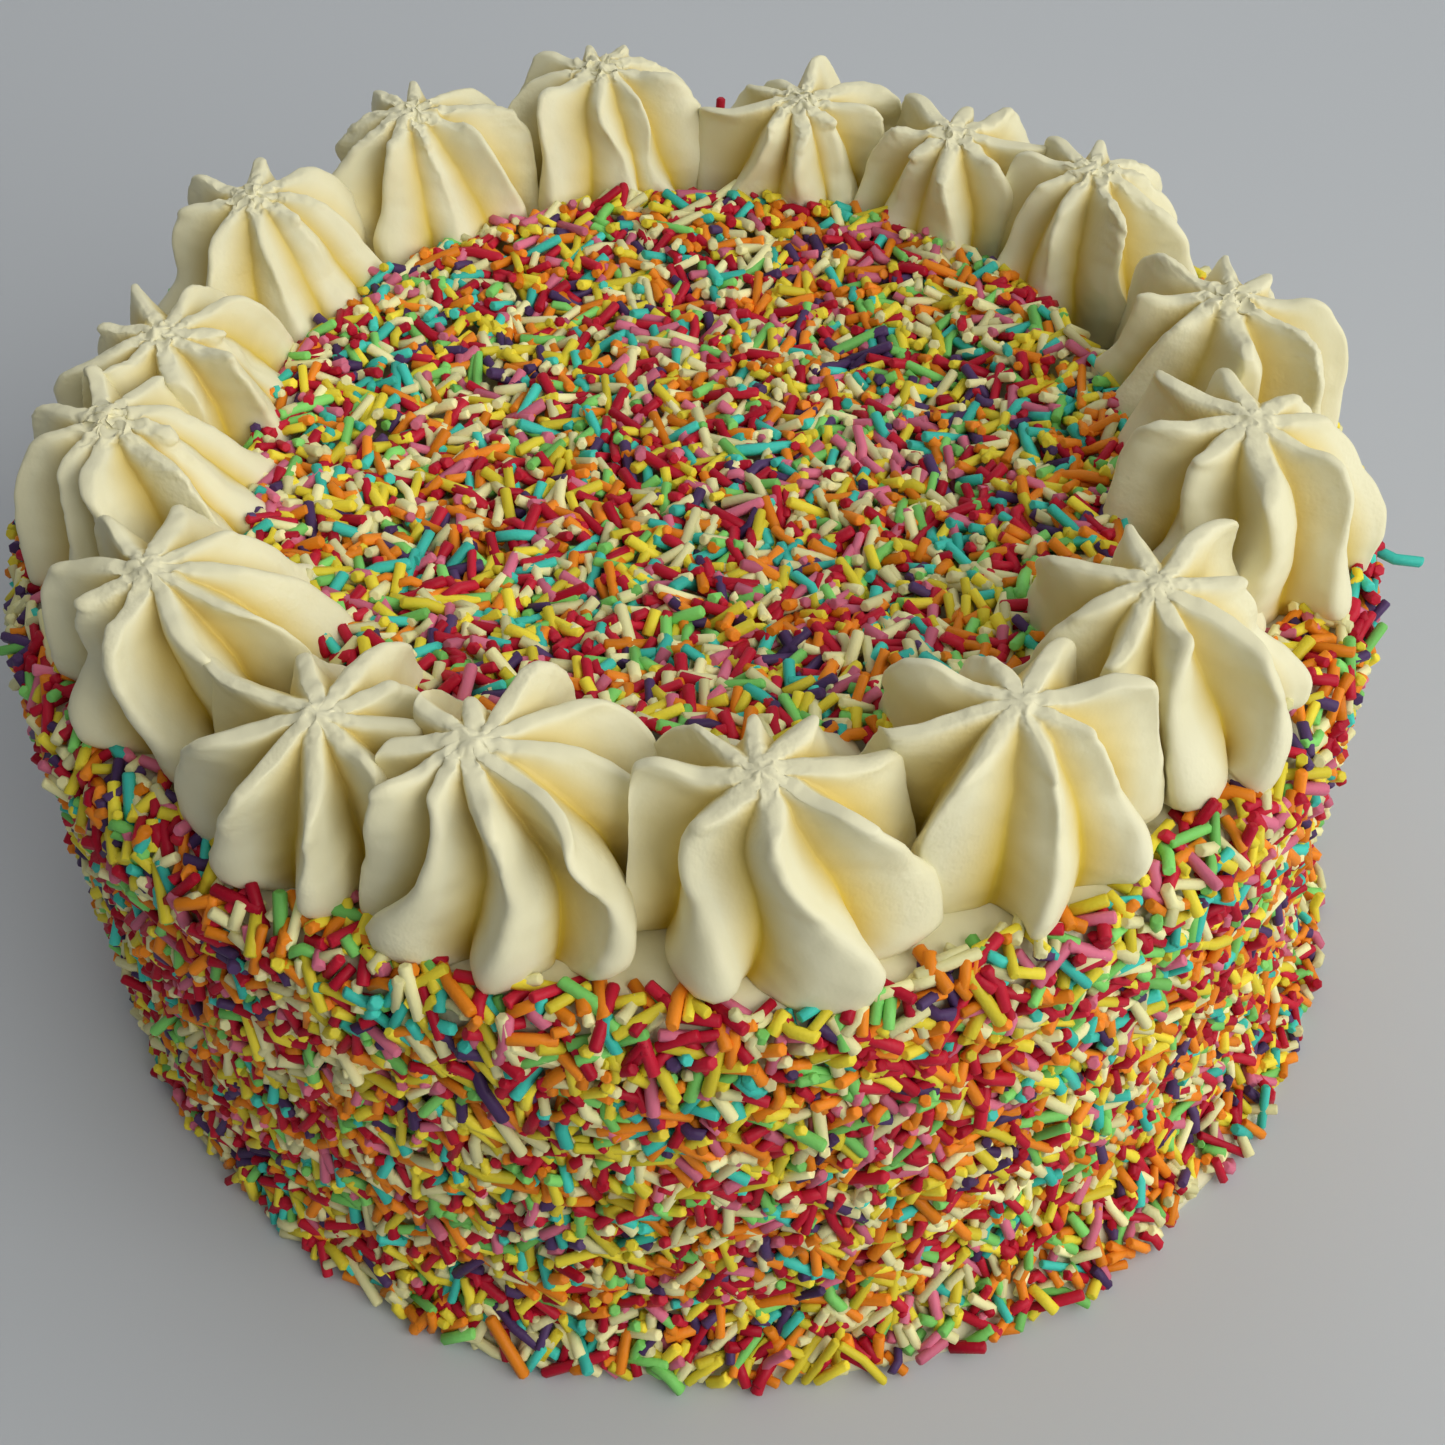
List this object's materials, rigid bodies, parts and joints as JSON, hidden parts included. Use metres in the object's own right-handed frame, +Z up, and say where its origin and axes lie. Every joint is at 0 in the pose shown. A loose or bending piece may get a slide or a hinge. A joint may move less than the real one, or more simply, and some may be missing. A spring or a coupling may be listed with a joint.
{
  "type": "celebration cake",
  "caption": "Round, uncut celebration cake: buttercream wall and top coated in mixed sugar strands, with a ring of star-piped buttercream rosettes round the rim.",
  "frame": {"origin": "centre of the cake's flat underside", "axes": "+Z up through the cake's middle, -Y towards the front as it is seen, +X to the right"},
  "size_m": [0.2245, 0.2242, 0.1128],
  "materials": {
    "strand_coated_buttercream": "matte buttercream under a dense coat of waxy sugar strands in mixed colours",
    "buttercream": "smooth, soft cream with a faint sheen"
  },
  "bodies": {
    "root": {"cake": "strand_coated_buttercream", "rosette_01": "buttercream", "rosette_02": "buttercream", "rosette_03": "buttercream", "rosette_04": "buttercream", "rosette_05": "buttercream", "rosette_06": "buttercream", "rosette_07": "buttercream", "rosette_08": "buttercream", "rosette_09": "buttercream", "rosette_10": "buttercream", "rosette_11": "buttercream", "rosette_12": "buttercream", "rosette_13": "buttercream", "rosette_14": "buttercream", "rosette_15": "buttercream", "rosette_16": "buttercream"}
  },
  "joints": []
}
